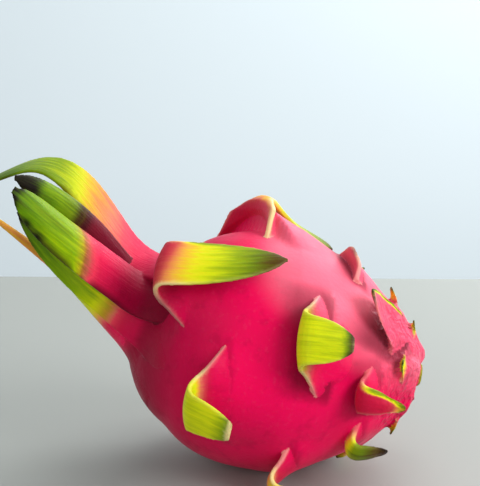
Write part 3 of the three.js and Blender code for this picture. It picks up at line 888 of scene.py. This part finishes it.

# %% [markdown]
# ## Where each finish shows
#
# Nothing on a fruit starts at a line. So each finish has a soft step: a number, the two values that the step
# lies between, and what it gives before and after. The neck's steps, which place its painted shade, are
# distances towards the crown, told from the middle of the fruit. The painted sheen lies on the side that is
# high and towards the stem, which faces the window and the key lamp.

# %% Where each finish shows
middle_at = (axis_at(0)[0] + REST).dot(towards_crown)
# Where the painted sheen lies: high and towards the stem, facing the lamps, wandering with the patches.
SHEEN_SIDE_X, SHEEN_SIDE_Z, SHEEN_WANDERS = 0.6, 0.8, 8
from_root = add_node("Math", {0: along, 1: on_blade}, operation="MULTIPLY")
toward_sheen = add_node("Math", {0: z, 1: SHEEN_SIDE_Z}, operation="MULTIPLY")
for number, factor in ((x, SHEEN_SIDE_X), (pattern["patches"], SHEEN_WANDERS * MM)):
    toward_sheen = add_node("Math", {0: number, 1: factor, 2: toward_sheen}, operation="MULTIPLY_ADD")
SOFT_STEPS = {
    "skin": (green, 0.12, 0.45, 1, 0),
    "veined": (green, 0.05, 0.3, 0, 1),
    "inside": (green, 0.2, 0.42, 1, 0.12),
    "pale_edge": (green, 0.4, 0.62, 1, 0.15),
    "creamy": (green, 0.02, 0.25, 0, 1),
    "blotched": (pattern["blotches"], 0.5, 0.72, 0, 1),
    "speckled": (pattern["specks"], 0.55, 0.75, 0, 1),
    "frayed": (pattern["fibres"], 0.3, 0.6, 0.6, 1),
    "dull": (pattern["blotches"], 0.3, 0.7, 0.4, 0.5),
    "neck_foot": (crownward, (middle_at + 12) * MM, (middle_at + 34) * MM, 0, 1),
    "neck": (crownward, (middle_at + 34) * MM, (middle_at + 48) * MM, 0, 1),
    "below_crown": (crownward, (middle_at + 62) * MM, (middle_at + 76) * MM, 1, 0),
    "at_root": (from_root, 0.08, 0.18, 1, 0),
    "sheened": (toward_sheen, 56 * MM, 72 * MM, 0, 1),
    "stemward": (x, -8 * MM, 6 * MM, 0, 1),
    "near_stem": (x, 35 * MM, 46 * MM, 0, 1),
}
step = {}
for name, values in SOFT_STEPS.items():
    step[name] = add_node("MapRange", dict(enumerate(values)), interpolation_type="SMOOTHSTEP")
print(len(step), "soft steps")

# %% [markdown]
# ## Ripening
#
# The rind's pigment is betacyanin, a magenta one, and the leaf green of the bracts fades as it comes. Between
# the two the bract passes through coral, orange and yellow. A colour ramp holds that run of colours, and the
# fibres pull its steps to and fro, because each of them ripens at its own pace.

# %% Ripening
RIPENING = (
    (0.00, "#e60050"), (0.08, "#e41a4c"), (0.16, "#e84658"), (0.24, "#ec7a62"), (0.33, "#ee9c50"),
    (0.43, "#eac22e"), (0.52, "#e2e214"), (0.60, "#cfde02"), (0.70, "#8aac00"), (0.80, "#588000"),
    (0.90, "#3c4604"), (1.00, "#141a08"),
)
FIBRES_PULL, MEAN_NOISE = 0.25, 0.5
pull = add_node("Math", {0: pattern["fibres"], 1: MEAN_NOISE}, operation="SUBTRACT")
for factor in (FIBRES_PULL, step["veined"]):
    pull = add_node("Math", {0: pull, 1: factor}, operation="MULTIPLY")
ripe_at = add_node("Math", {0: green, 1: pull}, operation="ADD", use_clamp=True)
colour = add_node("ValToRGB", {"Fac": ripe_at})
stops = colour.node.color_ramp.elements
for position, _ in RIPENING[1:-1]:
    stops.new(position)
for stop, (position, hex_colour) in zip(stops, RIPENING):
    stop.position, stop.color = position, linear(hex_colour)
print("the ramp has", len(stops), "colours")

# %% [markdown]
# ## How dark the rind is
#
# The rind is painted darker, towards maroon, over the crown's half of the fruit and most on the neck: painted
# shade for the side away from the lamps and the crease under the crown. The spots that the tone tells of are
# darker too. The darker of the two is what shows, so the numbers meet in a maximum.

# %% How dark the rind is
NECK_FOOT_PAINTED_SHADE, NECK_PAINTED_SHADE = 0.3, 0.35
TONE_DARK, TONE_START = 1.7, -0.85
painted_neck_shade = add_node("Math", {0: step["neck_foot"], 1: NECK_FOOT_PAINTED_SHADE}, operation="MULTIPLY")
painted_neck_shade = add_node("Math", {0: step["neck"], 1: NECK_PAINTED_SHADE, 2: painted_neck_shade}, operation="MULTIPLY_ADD")
for name in ("skin", "below_crown", "at_root"):
    painted_neck_shade = add_node("Math", {0: painted_neck_shade, 1: step[name]}, operation="MULTIPLY")
tone_dark = add_node("Math", {0: tone, 1: TONE_DARK, 2: TONE_START}, operation="MULTIPLY_ADD")
darkness_and_shade = add_node("Math", {0: tone_dark, 1: painted_neck_shade}, operation="MAXIMUM")
print("a tone of 1 gives a darkness of %.2f" % (TONE_DARK + TONE_START))

# %% [markdown]
# ## Colours on top of the ripening
#
# The rest lies over that, layer by layer: the spots where the wax is thin, the deep red inner faces, rust,
# the pale margins with their painted highlight, the painted shade and darker parts, the withered tips, and
# last a pale wax bloom with a painted sheen on the side that faces the lamps. Each layer is a colour and the
# factors of its share, and a Mix node puts it over the ones before it.

# %% Colours on top of the ripening
CREAM, SALMON, DEEP_RED, DARK_SPOT, BRIGHT_SPECK = "#f0dc98", "#f09a92", "#b81434", "#92002f", "#e2305e"
RUST, WITHERED, MAROON, BLOOM_AND_SHEEN = "#7c421e", "#120d05", "#340008", "#ffa8b8"
BLOOM_AND_SHEEN_OFF_BLADES = -0.4
# There is no rust at a tone of 0.5 and all there can be at 0.
rusty = add_node("Math", {0: tone, 1: -2, 2: 1}, operation="MULTIPLY_ADD", use_clamp=True)
# The pale margins' colour, which also serves as a painted highlight along the edge.
pale_edge_and_highlight = add_node("Mix", {0: step["creamy"], 6: linear(SALMON), 7: linear(CREAM)}, 2, data_type="RGBA")
not_dark = add_node("Math", {0: 1, 1: darkness_and_shade}, operation="SUBTRACT")
# The share left for the painted sheen: less on the blades, and none where the rind is painted dark.
bare = add_node("Math", {0: on_blade, 1: BLOOM_AND_SHEEN_OFF_BLADES, 2: not_dark}, operation="MULTIPLY_ADD",
                use_clamp=True)
LAYERS = (
    (linear(DARK_SPOT), step["blotched"], 0.22, step["skin"]),
    (linear(BRIGHT_SPECK), step["speckled"], 0.25, step["skin"]),
    (linear(DEEP_RED), inner_face, 0.75, step["inside"]),
    (linear(RUST), rusty, step["frayed"]),
    (pale_edge_and_highlight, margin, 0.85, step["pale_edge"]),
    (linear(MAROON), darkness_and_shade),
    (linear(WITHERED), dry, step["frayed"]),
    # Painted sheen over a pale wax bloom, on the side that faces the lamps.
    (linear(BLOOM_AND_SHEEN), step["sheened"], step["stemward"], step["skin"], bare, 0.33),
)
for over, share, *factors in LAYERS:
    for factor in factors:
        share = add_node("Math", {0: share, 1: factor}, operation="MULTIPLY")
    colour = add_node("Mix", {0: share, 6: colour, 7: over}, 2, data_type="RGBA")
print(len(LAYERS), "layers over the ripening colours")

# %% [markdown]
# ## Relief
#
# The wax, the specks and the fibres stand up from the rind by tenths of a millimetre, and near the stem finer
# creases lie between the crinkles. That is too fine for the mesh, so a Bump node gives it to the light alone.
# The creases are sharp because they are where the noise crosses its mean.

# %% Relief
RELIEF_DEPTH, RELIEF_STRENGTH = 0.5, 0.5
CREASES = -20
crease = add_node("Math", {0: pattern["creases"], 1: MEAN_NOISE}, operation="SUBTRACT")
crease = add_node("Math", {0: crease}, operation="ABSOLUTE")
RELIEF = (
    (pattern["specks"], 0.35),
    (pattern["fibres"], on_blade, 0.8),
    (pattern["blotches"], 0.5),
    (crease, CREASES, step["near_stem"]),
)
heights = 0
for height, *factors in RELIEF:
    for factor in factors:
        height = add_node("Math", {0: height, 1: factor}, operation="MULTIPLY")
    heights = add_node("Math", {0: heights, 1: height}, operation="ADD")
bump = add_node("Bump", {"Strength": RELIEF_STRENGTH, "Distance": RELIEF_DEPTH * MM, "Height": heights})
print("the relief is", RELIEF_DEPTH, "mm deep")

# %% [markdown]
# ## The rind's wax and flesh
#
# Dragon fruit rind is a leathery skin over wet flesh, grown under a thin matt wax. The wax has an index near
# 1.45 and is too fine-grained to shine, so the gloss is weak and broad, with a faint sheen. Light goes a
# little way into the flesh and comes out red: that is subsurface scattering, with a red radius of a few
# millimetres and shorter ones for green and blue.

# %% The rind's wax and flesh
SAME_ALL_OVER = {
    "IOR": 1.45,
    "Specular IOR Level": 0.08,
    "Sheen Weight": 0.06,
    "Sheen Roughness": 0.5,
    "Sheen Tint": linear("#ffd8e0"),
    "Subsurface Weight": 0.1,
    "Subsurface Radius": (0.003, 0.0006, 0.0008),
    "Subsurface Scale": 1.0,
}
for name, value in SAME_ALL_OVER.items():
    shader.inputs[name].default_value = value
for name, output in {"Base Color": colour, "Roughness": step["dull"], "Normal": bump}.items():
    rind.node_tree.links.new(output, shader.inputs[name])
fruit.data.materials.clear()
fruit.data.materials.append(rind)
print("material", rind.name, "with", len(rind.node_tree.nodes), "nodes")

# %% [markdown]
# ## Table and wall
#
# The fruit lies on a plain pale table with a paler wall behind it, and two planes make both. The table is
# laminated board with a matt face, which spreads what it mirrors to a soft brightness. The wall is rolled
# with matt emulsion paint, whose chalk makes it rougher still.

# %% Table and wall
TABLE_WIDTH, TABLE_FRONT, TABLE_DEPTH = 4, -1.68, 2.0  # these are in metres
WALL_WIDTH, WALL_AT, WALL_FOOT, WALL_HEIGHT = 6, 0.9, -1.2, 3
PLAIN = {"table_top": ("pale_table", "#999d99", 0.75), "wall": ("pale_wall", "#dfecf2", 0.9)}
stage = {}
for name, (material_name, hex_colour, rough) in PLAIN.items():
    bpy.ops.object.select_all(action="DESELECT")
    bpy.ops.mesh.primitive_plane_add(size=1)
    stage[name] = bpy.context.object
    stage[name].name = name
    material = bpy.data.materials.new(material_name)
    material.use_nodes = True
    plain_shader = material.node_tree.nodes["Principled BSDF"]
    plain_shader.inputs["Base Color"].default_value = linear(hex_colour)
    plain_shader.inputs["Roughness"].default_value = rough
    stage[name].data.materials.append(material)
floor, wall = stage["table_top"], stage["wall"]
for vertex in floor.data.vertices:
    vertex.co = Vector((vertex.co.x * TABLE_WIDTH, TABLE_FRONT + (vertex.co.y + 0.5) * TABLE_DEPTH, 0))
for vertex in wall.data.vertices:
    vertex.co = Vector((vertex.co.x * WALL_WIDTH, WALL_AT, (vertex.co.y + 0.5) * WALL_HEIGHT + WALL_FOOT))
print("the wall stands", WALL_AT, "m behind the fruit")

# %% [markdown]
# ## Light
#
# The light is that of a bright room: a large window behind on the right, a key light in front on the right,
# a weak fill in front on the left, and a wash on the wall. Broad round lamps give soft shadows.

# %% Light
LAMPS = {  # where it hangs and what it faces, in metres, then its width and its power in watts
    "window": ((0.5, 0.6, 0.65), (0, 0, 0.06), 0.9, 9.8),
    "key": ((0.8, -0.5, 0.5), (0, 0, 0.05), 0.6, 7.6),
    "fill": ((-0.4, -0.8, 0.35), (0, 0, 0.05), 0.7, 2),
    "wall_wash": ((0, 0.35, 1.2), (0, 0.9, 0.2), 0.6, 3),
}
ROOM_LIGHT = 0.52
for name, (hangs, faces, size, power) in LAMPS.items():
    lamp_data = bpy.data.lights.new(name, "AREA")
    lamp_data.shape, lamp_data.size, lamp_data.energy = "DISK", size, power
    lamp = bpy.data.objects.new(name, lamp_data)
    bpy.context.scene.collection.objects.link(lamp)
    lamp.location = hangs
    lamp.rotation_mode = "QUATERNION"
    lamp.rotation_quaternion = (Vector(faces) - Vector(hangs)).to_track_quat("-Z", "Y")
world = bpy.data.worlds.new("room")
bpy.context.scene.world = world
world.use_nodes = True
background = world.node_tree.nodes["Background"]
background.inputs["Color"].default_value = linear("#ffffff")
background.inputs["Strength"].default_value = ROOM_LIGHT
bpy.context.scene.view_settings.view_transform = "Standard"
print(len(LAMPS), "lamps and a room light of", ROOM_LIGHT)

# %% [markdown]
# ## Camera
#
# The camera stands some 40 cm in front of the fruit and looks slightly down on it. So near, it makes the
# front bracts large, and a long lens then frames the fruit.

# %% Camera
YAW, PITCH = math.radians(1.5), math.radians(10.65)
CAMERA_AT = (0, -0.3894, 0.1573)
SENSOR, FOCAL_LENGTH_PIXELS, PICTURE_PIXELS = 36, 1081, 486
NEAREST, FARTHEST = 0.01, 20
camera_data = bpy.data.cameras.new("camera")
camera = bpy.data.objects.new("camera", camera_data)
bpy.context.scene.collection.objects.link(camera)
bpy.context.scene.camera = camera
camera_data.sensor_width, camera_data.lens = SENSOR, FOCAL_LENGTH_PIXELS * SENSOR / PICTURE_PIXELS
camera_data.clip_start, camera_data.clip_end = NEAREST, FARTHEST
camera.location = CAMERA_AT
looking = Vector((-math.sin(YAW) * math.cos(PITCH), math.cos(YAW) * math.cos(PITCH), -math.sin(PITCH)))
camera.rotation_mode = "QUATERNION"
camera.rotation_quaternion = looking.to_track_quat("-Z", "Y")
print("the lens is %.0f mm long" % camera_data.lens)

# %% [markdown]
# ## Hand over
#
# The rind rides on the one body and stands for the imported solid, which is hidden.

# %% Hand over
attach(fruit, "root")
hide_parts("dragon_fruit")
